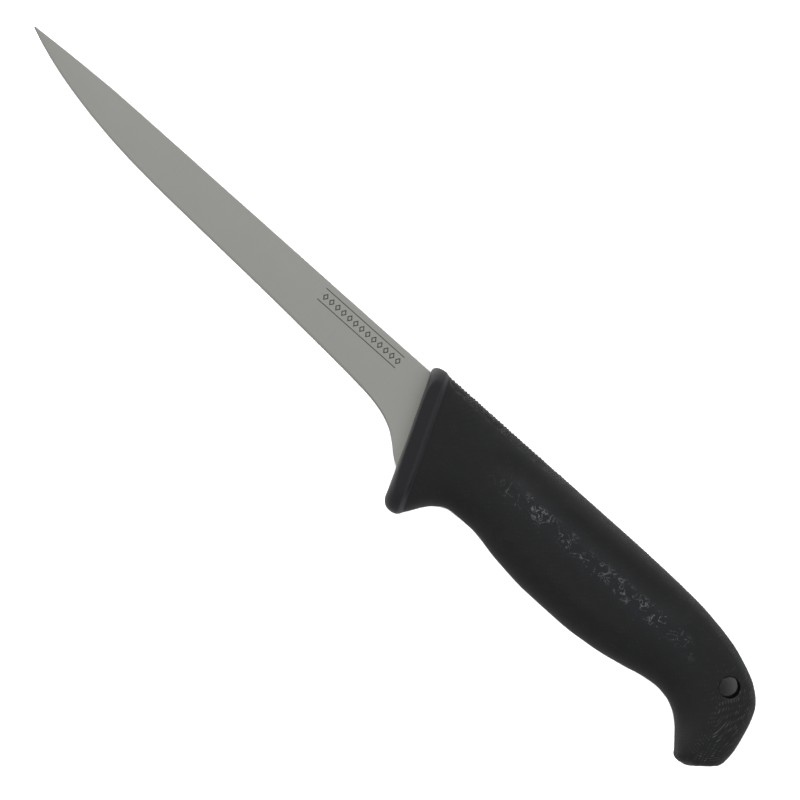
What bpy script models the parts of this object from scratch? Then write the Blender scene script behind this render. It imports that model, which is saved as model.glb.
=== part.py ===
"""Boning knife: a stainless blade and tang in one piece, and a polymer handle moulded round the tang.

Frame: metres, +X to the point, +Y to the cutting edge, +Z up through the thickness. The knife lies on
its side, and the origin is at the centre of its box, on the plane that it lies on.

The outlines are drawn in millimetres, seen from above. Their zero is where the handle's raked front face
meets the spine of the blade, halfway through the knife's thickness. A rib is a straight line across the
outline, from the spine side to the edge side, and each sub-part is a loft through its ribs.
"""

import math

import bmesh
import bpy
import numpy as np

MM = 0.001

# Driving dimensions, in millimetres
STOCK_HALF = 1.0          # half of the 2 mm sheet that the blade and tang are cut from
BLADE_REACH = 150.9       # point of the blade, in front of the zero
SPINE_DROP_START = 116.0  # from here the spine falls gently to the point
SPINE_DROP = 1.4
SPINE_FALL = 1.5          # power of the curve that the spine falls on
TAPER_START = 20.0        # from here the blade thins towards the point
TIP_HALF = 0.4
GRIND_START = 0.3         # share of the blade's width, from the spine, that stays flat sheet
GRIND_POWER = 1.7
SPINE_CORNER = 0.8        # thickness left at the spine's softened corners, as a share

HANDLE_HALF = 11.0        # the handle is 22 mm thick over its flat sides
SIDE_SOFTNESS = 0.4       # how gradually the flat sides begin
RAKE = 0.41               # the handle's front face leans back by this much for each mm across
COLLAR_TOP = -3.08
BODY_TOP = -2.65
FRONT_ROUND_LONG = 5.0    # rounding of the collar's front rim, along the handle
FRONT_ROUND_TOP = 2.78    # the same, across the outline
FRONT_ROUND_SIDE = 2.5    # the same, on the flat sides
GUARD_REACH = 37.5        # how far across the guard's nose reaches
NOSE_ROUND = 3.6          # rounding of the nose's front, across the outline
NOSE_FALL = 0.205         # and the curve that its back falls away on
GUARD_LIP = 1.1           # the guard's nose stands this far in front of the raked face
LIP_FROM, LIP_TO = 27.0, 36.5
LIP_POWER = 2.5
COLLAR_BACK = 4.1         # the collar's flat ends here, behind the front face
COLLAR_STEP_END = 5.7     # and its bevelled step ends here
COLLAR_SQUARENESS = 3.1   # squareness of the collar's section
COLLAR_BULGE = 11.9       # the collar's thickness before its sides are flattened
BODY_BULGE = 10.3         # the grip's thickness at the foot of the step
VALLEY_DEPTH = 1.0        # shallow thumb valley under the back of the handle
VALLEY_ACROSS, VALLEY_REACH = 4.4, 4.6
VALLEY_FROM, VALLEY_TO, VALLEY_FADE = -33.0, -98.0, 6.0

HOLE_CENTRE = (-123.5, 10.5)
HOLE_RADIUS = 3.0
FIT_GAP = 0.3             # play between the tang and the handle
POCKET_FRONT = 8.0        # the pocket's cutter reaches this far in front of the zero
SLOT_END = (-11.9, 28.5)  # the slot's far corner, a small recess in the guard under the heel
TANG_HOLES = ((-24.0, 10.6, 3.2), (-50.0, 10.9, 3.2), (-76.0, 11.0, 2.8))

RING_POINTS = 32          # points round one handle section
HANDLE_STEP = 3.2         # spacing of the handle's sections along the grip, at most
BLADE_STEP = 5.0
CIRCLE_POINTS = 32
ROUNDING = 1e-9           # smaller than this is zero
WELD = 0.01               # corners closer than this are one corner

# Blade ribs: spine x, then the edge's x and y, and half the thickness just above the edge
BLADE_RIBS = (
    (150.9, 150.5, 2.0, 0.12),
    (146.0, 145.3, 4.0, 0.15),
    (140.0, 139.5, 5.85, 0.17),
    (130.0, 129.7, 8.3, 0.2),
    (119.5, 119.4, 10.2, 0.2),
    (105.6, 105.6, 11.9, 0.22),
    (91.9, 91.9, 12.8, 0.22),
    (71.2, 71.2, 13.6, 0.25),
    (50.6, 50.6, 14.4, 0.25),
    (30.0, 30.0, 15.4, 0.28),
    (17.0, 16.3, 16.2, 0.3),
    (12.0, 9.4, 16.8, 0.35),
    (8.6, 4.0, 17.8, 0.45),
    (5.8, -0.9, 19.6, 0.55),
    (3.4, -4.6, 22.1, 0.65),
    (1.4, -8.0, 25.1, 0.7),
    (0.0, -11.0, 27.1, 0.75),
)
# Tang ribs: back x and y, then belly x and y
TANG_RIBS = (
    (-2.6, 0.0, -13.3, 27.1),
    (-4.6, 0.9, -15.0, 22.4),
    (-8.0, 1.6, -18.6, 20.2),
    (-16.0, 2.1, -25.0, 19.3),
    (-36.0, 2.9, -40.0, 18.8),
    (-62.0, 4.2, -64.0, 17.6),
    (-92.0, 6.6, -92.4, 15.6),
    (-95.0, 8.4, -95.2, 13.8),
)
# Shares of a rib's length, from the spine, where the blade's thickness is set
BLADE_SHARES = (0.0, 0.03, 0.3, 0.45, 0.6, 0.75, 0.88)
EDGE_BEVEL = 0.55         # width of the sharpened bevel
BEVEL_LIMIT = 0.1         # and the largest share of a rib that it may take, near the point

# Distances behind the front face of the ribs that are parallel to it
COLLAR_RIBS = (0.0, 0.2, 0.7, 1.5, FRONT_ROUND_SIDE, 3.3, COLLAR_BACK, COLLAR_STEP_END)
# Grip ribs: back x and y, belly x and y, half thickness, and squareness of the section
GRIP_RIBS = (
    (-9.6, BODY_TOP, -22.0, 33.5, 10.1, 2.9),
    (-14.0, BODY_TOP, -23.9, 30.6, 9.9, 2.7),
    (-20.0, BODY_TOP, -26.2, 28.1, 9.7, 2.5),
    (-27.0, BODY_TOP, -30.4, 26.0, 9.7, 2.4),
    (-36.0, BODY_TOP, -37.5, 25.75, 10.2, 2.35),
    (-50.0, BODY_TOP, -50.0, 27.7, 11.3, 2.3),
    (-62.0, BODY_TOP, -62.0, 28.85, 12.0, 2.3),
    (-75.0, BODY_TOP, -75.0, 28.95, 12.1, 2.3),
    (-88.0, -2.45, -86.5, 28.05, 11.7, 2.3),
    (-100.6, -1.95, -97.5, 26.0, 10.9, 2.35),
    (-109.5, -0.9, -103.0, 24.68, 10.45, 2.38),
    (-116.3, 0.4, -107.8, 24.12, 10.15, 2.42),
    (-122.3, 2.35, -111.8, 24.58, 9.95, 2.46),
    (-128.0, 4.95, -115.4, 25.97, 9.8, 2.5),
    (-133.4, 10.0, -118.8, 28.5, 9.6, 2.5),
    (-136.05, 18.0, -121.6, 31.65, 9.2, 2.5),
    (-137.1, 25.0, -123.7, 34.2, 8.5, 2.5),
    (-137.0, 27.6, -124.6, 35.4, 7.8, 2.5),
    (-136.6, 29.1, -126.2, 36.0, 7.0, 2.5),
    (-135.6, 30.2, -128.7, 35.7, 5.8, 2.5),
    (-134.7, 31.0, -130.2, 34.9, 4.0, 2.5),
)
CREST_SHARE = 0.42        # the grip is thickest this far across, from its back


def clear_scene():
    for obj in list(bpy.data.objects):
        bpy.data.objects.remove(obj, do_unlink=True)


def new_collection(name):
    collection = bpy.data.collections.new(name)
    bpy.context.scene.collection.children.link(collection)
    return collection


def make_material(name, colour, roughness, metallic):
    material = bpy.data.materials.new(name)
    material.use_nodes = True
    shader = material.node_tree.nodes["Principled BSDF"]
    shader.inputs["Base Color"].default_value = (*colour, 1.0)
    shader.inputs["Roughness"].default_value = roughness
    shader.inputs["Metallic"].default_value = metallic
    return material


def smooth_ramp(value, start, end):
    """0 before start, 1 after end, and an S-curve between."""
    share = min(max((value - start) / (end - start), 0.0), 1.0)
    return share * share * (3.0 - 2.0 * share)


def steady_slopes(places, values):
    """Slopes for a cubic through the values that never overshoots them."""
    gaps = np.diff(places)
    rises = np.diff(values) / gaps
    slopes = np.zeros(len(values))
    slopes[0], slopes[-1] = rises[0], rises[-1]
    for i in range(1, len(values) - 1):
        before, after = rises[i - 1], rises[i]
        if before * after > 0.0:
            near = 2.0 * gaps[i] + gaps[i - 1]
            far = gaps[i] + 2.0 * gaps[i - 1]
            slopes[i] = (near + far) / (near / before + far / after)
    return slopes


def cubic_between(share, gap, start, end, slope_start, slope_end):
    square, cube = share * share, share ** 3
    return (start * (2.0 * cube - 3.0 * square + 1.0) + end * (3.0 * square - 2.0 * cube)
            + gap * slope_start * (cube - 2.0 * square + share) + gap * slope_end * (cube - square))


def fill_in_ribs(ribs, spacing):
    """The ribs, with more between them on a smooth curve, no further apart than the spacing."""
    table = np.array(ribs)
    middles = 0.5 * (table[:, 0:2] + table[:, 2:4])
    lengths = np.linalg.norm(np.diff(middles, axis=0), axis=1)
    places = np.concatenate(([0.0], np.cumsum(lengths)))
    slopes = np.array([steady_slopes(places, column) for column in table.T]).T
    dense = []
    for i, gap in enumerate(lengths):
        count = max(1, math.ceil(gap / spacing))
        for step in range(count):
            dense.append(cubic_between(step / count, gap, table[i], table[i + 1], slopes[i], slopes[i + 1]))
    dense.append(table[-1])
    return dense


def loft(name, rings, collection):
    """A closed skin over rings of points, with a fan of faces at each end."""
    mesh = bpy.data.meshes.new(name)
    skin = bmesh.new()
    loops = [[skin.verts.new([value * MM for value in point]) for point in ring] for ring in rings]
    for near, far in zip(loops, loops[1:]):
        for i in range(len(near)):
            skin.faces.new((near[i - 1], near[i], far[i], far[i - 1]))
    for ring, loop in ((rings[0], loops[0]), (rings[-1], loops[-1])):
        hub = skin.verts.new([MM * sum(point[axis] for point in ring) / len(ring) for axis in range(3)])
        for i in range(len(loop)):
            skin.faces.new((loop[i - 1], loop[i], hub))
    bmesh.ops.recalc_face_normals(skin, faces=skin.faces)
    skin.to_mesh(mesh)
    skin.free()
    obj = bpy.data.objects.new(name, mesh)
    collection.objects.link(obj)
    return obj


def make_cylinder(name, centre, radius, half_height, collection):
    place = (centre[0] * MM, centre[1] * MM, 0.0)
    bpy.ops.mesh.primitive_cylinder_add(vertices=CIRCLE_POINTS, radius=radius * MM,
                                        depth=2.0 * half_height * MM, location=place)
    obj = bpy.context.object
    obj.name = name
    for owner in list(obj.users_collection):
        owner.objects.unlink(obj)
    collection.objects.link(obj)
    return obj


def cut(obj, cutter):
    cutter.hide_render = True
    cutter.display_type = "WIRE"
    modifier = obj.modifiers.new("cut_" + cutter.name, "BOOLEAN")
    modifier.operation = "DIFFERENCE"
    modifier.solver = "EXACT"
    modifier.object = cutter


def shade(obj, degrees):
    obj.data.shade_smooth()
    obj.data.set_sharp_from_angle(angle=math.radians(degrees))


def spine_height(x):
    share = max(0.0, (x - SPINE_DROP_START) / (BLADE_REACH - SPINE_DROP_START))
    return SPINE_DROP * share ** SPINE_FALL


def blade_section(rib):
    """One closed ring of the blade: flat sheet by the spine, ground away in a soft curve to the edge."""
    spine_x, spine_y, edge_x, edge_y, edge_half = rib
    width = math.hypot(edge_x - spine_x, edge_y - spine_y)
    thinning = max(0.0, (spine_x - TAPER_START) / (BLADE_REACH - TAPER_START))
    spine_half = STOCK_HALF + (TIP_HALF - STOCK_HALF) * thinning
    shares = BLADE_SHARES + (1.0 - min(EDGE_BEVEL / width, BEVEL_LIMIT),)
    side = []
    for share in shares:
        ground = max(0.0, (share - GRIND_START) / (1.0 - GRIND_START)) ** GRIND_POWER
        half = spine_half + (min(edge_half, spine_half) - spine_half) * ground
        if share == 0.0:
            half *= SPINE_CORNER
        side.append((spine_x + (edge_x - spine_x) * share, spine_y + (edge_y - spine_y) * share, half))
    below = [(x, y, -half) for x, y, half in reversed(side)]
    return side + [(edge_x, edge_y, 0.0)] + below


def make_blade(parts, cutters):
    """Blade, heel and tang, one blank, with three holes in the tang that the handle locks into."""
    blade_ribs = [(x, spine_height(x), edge_x, edge_y, half) for x, edge_x, edge_y, half in BLADE_RIBS]
    tang_ribs = [(*rib, STOCK_HALF) for rib in TANG_RIBS]
    ribs = fill_in_ribs(blade_ribs, BLADE_STEP) + tang_ribs
    blade = loft("blade", [blade_section(rib) for rib in ribs], parts)
    for number, (x, y, radius) in enumerate(TANG_HOLES, 1):
        cut(blade, make_cylinder(f"tang_hole_{number}", (x, y), radius, 2.0 * STOCK_HALF, cutters))
    blade.data.materials.append(make_material("satin_stainless", (0.3, 0.3, 0.28), 0.42, 1.0))
    shade(blade, 30.0)
    return blade


def rim_inset(distance, reach, depth):
    """How far a rounded rim has drawn in, at a distance behind the face that it rounds into."""
    left = max(0.0, 1.0 - distance / reach)
    return depth * (1.0 - math.sqrt(1.0 - left * left))


def collar_rib(distance):
    """A rib parallel to the raked front face."""
    nose_y = GUARD_REACH - rim_inset(distance, FRONT_ROUND_SIDE, NOSE_ROUND)
    nose_y -= NOSE_FALL * max(0.0, distance - FRONT_ROUND_SIDE) ** 2
    step = smooth_ramp(distance, COLLAR_BACK, COLLAR_STEP_END)
    behind = distance * math.hypot(1.0, RAKE)
    top_y = COLLAR_TOP + (BODY_TOP - COLLAR_TOP) * step
    top_y += rim_inset(distance, FRONT_ROUND_LONG, FRONT_ROUND_TOP)
    half = COLLAR_BULGE + (BODY_BULGE - COLLAR_BULGE) * step
    half -= rim_inset(distance, FRONT_ROUND_SIDE, FRONT_ROUND_SIDE)
    return (-RAKE * top_y - behind, top_y, -RAKE * nose_y - behind, nose_y, half, COLLAR_SQUARENESS)


def flatten_side(half):
    """Levels the bulge of the sides off at the handle's half thickness, with a soft start."""
    over = half - (HANDLE_HALF - SIDE_SOFTNESS)
    if over <= 0.0:
        return half
    if over >= 2.0 * SIDE_SOFTNESS:
        return HANDLE_HALF
    return HANDLE_HALF - (2.0 * SIDE_SOFTNESS - over) ** 2 / (4.0 * SIDE_SOFTNESS)


def valley(x, y):
    """Depth of the thumb valley, which fades out at both ends and across."""
    ends = smooth_ramp(-x, -VALLEY_FROM - VALLEY_FADE, -VALLEY_FROM + VALLEY_FADE)
    ends *= 1.0 - smooth_ramp(-x, -VALLEY_TO - VALLEY_FADE, -VALLEY_TO + VALLEY_FADE)
    across = max(0.0, 1.0 - ((y - VALLEY_ACROSS) / VALLEY_REACH) ** 2)
    return VALLEY_DEPTH * ends * across * across


def grip_section(rib):
    """One closed ring of the handle: a squared oval, thickest nearer its back."""
    back_x, back_y, belly_x, belly_y, bulge, squareness = rib
    lean = math.log(CREST_SHARE) / math.log(0.5)
    ring = []
    for i in range(RING_POINTS):
        angle = 2.0 * math.pi * i / RING_POINTS
        across, up = math.cos(angle), math.sin(angle)
        reach = math.copysign(abs(across) ** (2.0 / squareness), across)
        share = (0.5 * (1.0 - reach)) ** lean
        half = flatten_side(bulge * abs(up) ** (2.0 / squareness))
        x = back_x + (belly_x - back_x) * share
        y = back_y + (belly_y - back_y) * share
        half = max(0.0, half - valley(x, y) * abs(up))
        ring.append((x, y, math.copysign(half, up) if abs(up) > ROUNDING else 0.0))
    return ring


def push_lip(ring):
    """Carries the guard's nose forward of the raked front face."""
    pushed = []
    for x, y, z in ring:
        behind = max(0.0, -x - RAKE * y)
        fade = 1.0 - smooth_ramp(behind, 0.0, COLLAR_STEP_END)
        nearness = max(0.0, (y - LIP_FROM) / (LIP_TO - LIP_FROM))
        pushed.append((x + GUARD_LIP * fade * nearness ** LIP_POWER, y, z))
    return pushed


def grow_outline(points, gap):
    """The closed outline with every side moved out by the gap; the points run anticlockwise."""
    grown = []
    for i, here in enumerate(points):
        before, after = points[i - 1], points[(i + 1) % len(points)]
        edge_in = (here[0] - before[0], here[1] - before[1])
        edge_out = (after[0] - here[0], after[1] - here[1])
        length_in, length_out = math.hypot(*edge_in), math.hypot(*edge_out)
        normal_in = (edge_in[1] / length_in, -edge_in[0] / length_in)
        normal_out = (edge_out[1] / length_out, -edge_out[0] / length_out)
        bend = 1.0 + normal_in[0] * normal_out[0] + normal_in[1] * normal_out[1]
        grown.append((here[0] + gap * (normal_in[0] + normal_out[0]) / bend,
                      here[1] + gap * (normal_in[1] + normal_out[1]) / bend))
    return grown


def tang_pocket_outline():
    """Outline of the pocket that the tang fills, open in front and a little long under the heel."""
    back_line = [(x, y) for x, y, _, _ in TANG_RIBS]
    belly_line = [(x, y) for _, _, x, y in TANG_RIBS]
    tang = [(POCKET_FRONT, belly_line[0][1])] + belly_line + back_line[::-1] + [(POCKET_FRONT, 0.0)]
    grown = grow_outline(tang, FIT_GAP)
    front_x, heel_y = grown[0]
    slot_x, slot_y = SLOT_END
    return [(front_x, slot_y), (slot_x, slot_y), (slot_x, heel_y)] + grown[1:]


def flat_plate(name, outlines, half_height, collection):
    """A flat plate from closed outlines; the inner outlines become holes."""
    curve = bpy.data.curves.new(name + "_outline", "CURVE")
    curve.dimensions = "2D"
    curve.fill_mode = "BOTH"
    curve.extrude = half_height * MM
    for outline in outlines:
        spline = curve.splines.new("POLY")
        spline.points.add(len(outline) - 1)
        for point, (x, y) in zip(spline.points, outline):
            point.co = (x * MM, y * MM, 0.0, 1.0)
        spline.use_cyclic_u = True
    guide = bpy.data.objects.new(name + "_outline", curve)
    collection.objects.link(guide)
    bpy.context.view_layer.update()
    depsgraph = bpy.context.evaluated_depsgraph_get()
    mesh = bpy.data.meshes.new_from_object(guide.evaluated_get(depsgraph))
    skin = bmesh.new()
    skin.from_mesh(mesh)
    bmesh.ops.remove_doubles(skin, verts=skin.verts, dist=WELD * MM)
    bmesh.ops.recalc_face_normals(skin, faces=skin.faces)
    skin.to_mesh(mesh)
    skin.free()
    plate = bpy.data.objects.new(name, mesh)
    plate.matrix_world = guide.matrix_world
    collection.objects.link(plate)
    bpy.data.objects.remove(guide, do_unlink=True)
    return plate


def circle_outline(x, y, radius):
    turns = [2.0 * math.pi * i / CIRCLE_POINTS for i in range(CIRCLE_POINTS)]
    return [(x + radius * math.cos(turn), y + radius * math.sin(turn)) for turn in turns]


def make_handle(parts, cutters):
    """Collar, guard, grip and beak, one moulding, with its pocket, posts and lanyard hole."""
    collar_ribs = [collar_rib(distance) for distance in COLLAR_RIBS]
    grip_ribs = fill_in_ribs(collar_ribs[-1:] + list(GRIP_RIBS), HANDLE_STEP)
    rings = [push_lip(grip_section(rib)) for rib in collar_ribs[:-1] + grip_ribs]
    handle = loft("handle", rings, parts)
    posts = [circle_outline(x, y, radius - FIT_GAP) for x, y, radius in TANG_HOLES]
    pocket = flat_plate("tang_pocket", [tang_pocket_outline()] + posts, STOCK_HALF + FIT_GAP, cutters)
    cut(handle, pocket)
    cut(handle, make_cylinder("lanyard_hole", HOLE_CENTRE, HOLE_RADIUS, 2.0 * HANDLE_HALF, cutters))
    handle.data.materials.append(make_material("moulded_polymer", (0.021, 0.022, 0.024), 0.55, 0.0))
    shade(handle, 35.0)
    return handle


def lay_down(pieces):
    """Moves the knife so that the centre of its box is over the origin and its side is at height zero."""
    bpy.context.view_layer.update()
    depsgraph = bpy.context.evaluated_depsgraph_get()
    points = []
    for piece in pieces:
        shape = piece.evaluated_get(depsgraph)
        points += [shape.matrix_world @ vert.co for vert in shape.data.vertices]
    low = [min(point[axis] for point in points) for axis in range(3)]
    high = [max(point[axis] for point in points) for axis in range(3)]
    frame = bpy.data.objects.new("knife_frame", None)
    bpy.context.scene.collection.objects.link(frame)
    frame.location = (-0.5 * (low[0] + high[0]), -0.5 * (low[1] + high[1]), -low[2])
    for obj in list(bpy.data.objects):
        if obj is not frame:
            obj.parent = frame


def main():
    clear_scene()
    parts = new_collection("boning_knife")
    cutters = new_collection("boning_knife_cutters")
    lay_down([make_blade(parts, cutters), make_handle(parts, cutters)])


main()
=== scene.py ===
"""Boning knife: a satin ground stainless blade and a pebbled polymer handle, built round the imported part.

Frame: metres, +X to the point, +Y to the cutting edge, +Z up through the thickness. The knife lies on
its side on a pale table.

Both pieces are drawn in millimetres, as the part itself is. Their zero is where the handle's raked front
face meets the spine, halfway through the thickness. A rib is a straight line across the outline, from the
spine side to the edge side, and each piece is a fine loft through its ribs.
"""

import math

import bpy
import numpy as np
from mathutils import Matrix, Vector


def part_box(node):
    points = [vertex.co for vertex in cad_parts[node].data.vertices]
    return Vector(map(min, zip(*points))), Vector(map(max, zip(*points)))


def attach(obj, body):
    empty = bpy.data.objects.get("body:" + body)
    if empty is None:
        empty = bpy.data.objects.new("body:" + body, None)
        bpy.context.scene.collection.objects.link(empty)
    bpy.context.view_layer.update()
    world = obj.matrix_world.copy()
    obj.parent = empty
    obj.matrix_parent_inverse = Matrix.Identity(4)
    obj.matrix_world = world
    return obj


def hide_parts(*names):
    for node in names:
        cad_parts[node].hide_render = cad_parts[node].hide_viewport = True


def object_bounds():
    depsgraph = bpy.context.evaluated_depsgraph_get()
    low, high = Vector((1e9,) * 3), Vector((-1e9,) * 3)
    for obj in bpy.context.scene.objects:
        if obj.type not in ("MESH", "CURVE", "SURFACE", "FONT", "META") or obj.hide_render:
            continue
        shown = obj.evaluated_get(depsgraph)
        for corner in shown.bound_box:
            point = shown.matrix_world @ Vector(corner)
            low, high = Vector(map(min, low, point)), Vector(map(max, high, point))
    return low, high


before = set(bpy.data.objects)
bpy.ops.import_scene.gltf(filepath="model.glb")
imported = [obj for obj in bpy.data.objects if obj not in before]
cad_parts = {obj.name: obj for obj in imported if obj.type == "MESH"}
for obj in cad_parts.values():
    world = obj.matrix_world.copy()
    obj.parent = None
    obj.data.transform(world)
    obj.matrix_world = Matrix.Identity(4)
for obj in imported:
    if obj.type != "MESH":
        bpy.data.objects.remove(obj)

MM = 0.001
cad_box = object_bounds()

# Blade, in millimetres
STOCK_HALF = 1.0
BLADE_REACH = 150.9
SPINE_DROP_START = 116.0  # from here on the spine curves down to the point
SPINE_DROP = 1.4
SPINE_FALL = 1.5
TAPER_START = 20.0        # from here on the spine gets thinner
TIP_HALF = 0.4
GRIND_START = 0.3         # share of the width that stays flat before the grind
GRIND_POWER = 1.7
EDGE_BEVEL = 0.55
BEVEL_LIMIT = 0.1         # the most of the width that the edge's bevel takes
SPINE_ROUND = 0.22        # radius of the spine's polished corners
ROUND_LIMIT = 0.45        # and the most of the half thickness that it takes
GRIND_FIRST = 0.06        # share of the width where the first point of the grind lies, at least
BEVEL_GAP = 0.02          # share of the width left between the grind's last point and the bevel
CORNER_POINTS, GRIND_POINTS = 5, 22
BLADE_STEP = 0.9
# Spine x, edge x and y, and half the thickness at the edge
BLADE_RIBS = (
    (150.9, 150.5, 2.0, 0.12),
    (146.0, 145.3, 4.0, 0.15),
    (140.0, 139.5, 5.85, 0.17),
    (130.0, 129.7, 8.3, 0.2),
    (119.5, 119.4, 10.2, 0.2),
    (105.6, 105.6, 11.9, 0.22),
    (91.9, 91.9, 12.8, 0.22),
    (71.2, 71.2, 13.6, 0.25),
    (50.6, 50.6, 14.4, 0.25),
    (30.0, 30.0, 15.4, 0.28),
    (17.0, 16.3, 16.2, 0.3),
    (12.0, 9.4, 16.8, 0.35),
    (8.6, 4.0, 17.8, 0.45),
    (5.8, -0.9, 19.6, 0.55),
    (3.4, -4.6, 22.1, 0.65),
    (1.4, -8.0, 25.1, 0.7),
    (0.0, -11.0, 27.1, 0.75),
)
# Spine x and y, and edge x and y
TANG_RIBS = (
    (-2.6, 0.0, -13.3, 27.1),
    (-4.6, 0.9, -15.0, 22.4),
    (-8.0, 1.6, -18.6, 20.2),
    (-16.0, 2.1, -25.0, 19.3),
    (-36.0, 2.9, -40.0, 18.8),
    (-62.0, 4.2, -64.0, 17.6),
    (-92.0, 6.6, -92.4, 15.6),
    (-95.0, 8.4, -95.2, 13.8),
)
# Centre x and y, and radius
TANG_HOLES = ((-24.0, 10.6, 3.2), (-50.0, 10.9, 3.2), (-76.0, 11.0, 2.8))
TANG_HOLE_POINTS, TANG_CUT_HALF = 48, 2.0
BLADE_CREASE = 30.0       # edges sharper than this, in degrees, stay crisp

# Handle, in millimetres
HANDLE_HALF = 11.0
SIDE_SOFTNESS = 0.4       # how gently the bulge levels off
SIDE_CROWN, CROWN_REACH = 0.35, 0.25
RAKE = 0.41               # how far the front face leans, for each millimetre across
COLLAR_TOP = -3.08
BODY_TOP = -2.65
FRONT_ROUND_LONG = 5.0
FRONT_ROUND_TOP = 2.78
FRONT_ROUND_SIDE = 2.5
GUARD_REACH = 37.5
NOSE_ROUND = 3.6
NOSE_FALL = 0.205
GUARD_LIP = 1.1           # the guard's tip leans forward this far
LIP_FROM, LIP_TO = 27.0, 36.5
LIP_POWER = 2.5
COLLAR_BACK = 4.1
COLLAR_STEP_END = 5.7
COLLAR_SQUARENESS = 3.1
COLLAR_BULGE = 11.9
BODY_BULGE = 10.3
VALLEY_DEPTH = 1.0
VALLEY_ACROSS, VALLEY_REACH = 4.4, 4.6
VALLEY_FROM, VALLEY_TO, VALLEY_FADE = -33.0, -98.0, 6.0
CREST_SHARE = 0.42        # share of the way across where the handle is thickest
HOLE_CENTRE = (-123.5, 10.5)
HOLE_RADIUS = 3.0
HOLE_CUT_HALF = 14.0
HOLE_ROUND = 0.7          # the rim of the lanyard hole is rounded over this far
# Back x and y, belly x and y, bulge of the sides, and squareness of the section
GRIP_RIBS = (
    (-9.6, BODY_TOP, -22.0, 33.5, 10.1, 2.9),
    (-14.0, BODY_TOP, -23.9, 30.6, 9.9, 2.7),
    (-20.0, BODY_TOP, -26.2, 28.1, 9.7, 2.5),
    (-27.0, BODY_TOP, -30.4, 26.0, 9.7, 2.4),
    (-36.0, BODY_TOP, -37.5, 25.75, 10.2, 2.35),
    (-50.0, BODY_TOP, -50.0, 27.7, 11.3, 2.3),
    (-62.0, BODY_TOP, -62.0, 28.85, 12.0, 2.3),
    (-75.0, BODY_TOP, -75.0, 28.95, 12.1, 2.3),
    (-88.0, -2.45, -86.5, 28.05, 11.7, 2.3),
    (-100.6, -1.95, -97.5, 26.0, 10.9, 2.35),
    (-109.5, -0.9, -103.0, 24.68, 10.45, 2.38),
    (-116.3, 0.4, -107.8, 24.12, 10.15, 2.42),
    (-122.3, 2.35, -111.8, 24.58, 9.95, 2.46),
    (-128.0, 4.95, -115.4, 25.97, 9.8, 2.5),
    (-133.4, 10.0, -118.8, 28.5, 9.6, 2.5),
    (-136.05, 18.0, -121.6, 31.65, 9.2, 2.5),
    (-137.1, 25.0, -123.7, 34.2, 8.5, 2.5),
    (-137.0, 27.6, -124.6, 35.4, 7.8, 2.5),
    (-136.6, 29.1, -126.2, 36.0, 7.0, 2.5),
    (-135.6, 30.2, -128.7, 35.7, 5.8, 2.5),
    (-134.7, 31.0, -130.2, 34.9, 4.0, 2.5),
)
SLOT_HALF = 1.05          # half of the mould's gap round the 2 mm tang
SLOT_ROOM = 0.05          # and the gap beyond the tang's back and belly
SLOT_OPEN = 8.0
SLOT_CORNER = (-11.9, 28.5)
HANDLE_STEP = 0.18        # spacing of the handle's sections
FRONT_SECTIONS, COLLAR_SECTIONS, STEP_SECTIONS = 18, 8, 14
CURVE_POINTS = 700        # points of half a section, before they are spaced evenly
RING_POINTS = 420         # points round one section
HANDLE_CREASE = 38.0      # edges sharper than this, in degrees, stay crisp

# Grain of the mould, in millimetres: beads in rows that run along the outline. "Across" is measured in from
# the back or belly as seen from above, and "behind" is measured back from the handle's front.
ROW_PITCH = 0.74          # the rows on the sides are this far apart along the surface,
BACK_ROW_PITCH = 0.44     # and those on the back this far apart across
BEAD_PITCH = 1.1          # length of a bead on the back's rim
LONG_BEAD_PITCH = 1.7     # and of one on the sides
ROW_BLEND = 3.0           # how softly the rows turn the corner at the beak
BEAK_REACH = 3.0
SIDE_ROWS = (1.5, 4.0)    # the back's rows give way to the sides' rows from here to here across
BUTT_ROWS = (96.0, 112.0)  # and from here to here behind
SIDE_BEADS = (8.0, 13.0)  # the beads grow long and wander from here to here along the surface
STAGGER_FROM = (0.5, 0.9)  # every other row is shifted half a bead, from here across
# How far the rows wander in rows, the size of a wander along and round, and its seed
WANDERS = ((0.5, 8.0, 6.0, 11), (0.2, 2.6, 2.4, 12))
DRIFT, DRIFT_CELL, DRIFT_SEED = 0.35, 2.4, 13  # how far the beads drift along their rows, in beads
UNEVEN, UNEVEN_CELL, UNEVEN_SEED = 0.25, 1.1, 14  # how much the beads differ in height
ROW_LEAST = 0.3           # height of a row between two beads, as a share of a bead's
# Depth of the beads on the back, what is added to it towards the front, and where each fades out
BACK_DEPTH, BACK_FADE = 0.12, (0.9, 2.6)
FRONT_DEPTH, FRONT_FADE = 0.3, (26.0, 62.0)
# Depth on the sides, and what is added to it round the butt, behind a slanting line
SIDE_DEPTH, BUTT_DEPTH, BUTT_FADE = 0.012, 0.13, (9.0, 15.0)
BUTT_ACROSS, BUTT_BEHIND, BUTT_SLANT = (31.0, 36.0), (116.0, 124.0), 0.25
# Depth along the belly, where it meets the beak
BELLY_DEPTH, BELLY_FADE, BELLY_BEHIND = 0.12, (0.3, 1.6), (112.0, 121.0)
GRAIN_STARTS = (5.8, 6.8)  # behind the front face, at the end of the smooth collar
# How much of their depth the beads stand out on the back. Elsewhere they are sunk in
PROUD, PROUD_FADE, PROUD_ACROSS = 0.4, (100.0, 120.0), (1.0, 4.0)
TIP_HEIGHT = (0.38, 0.72)  # a bead's tip gets a painted highlight that starts and is full at these shares of its height
TIP_ACROSS = (0.05, 0.4)  # no tip gets the painted highlight nearer to the line of the back than this
TIP_DEPTH = 0.22          # and shallower beads get less of the painted highlight
NOISE_CELLS = 256

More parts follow.
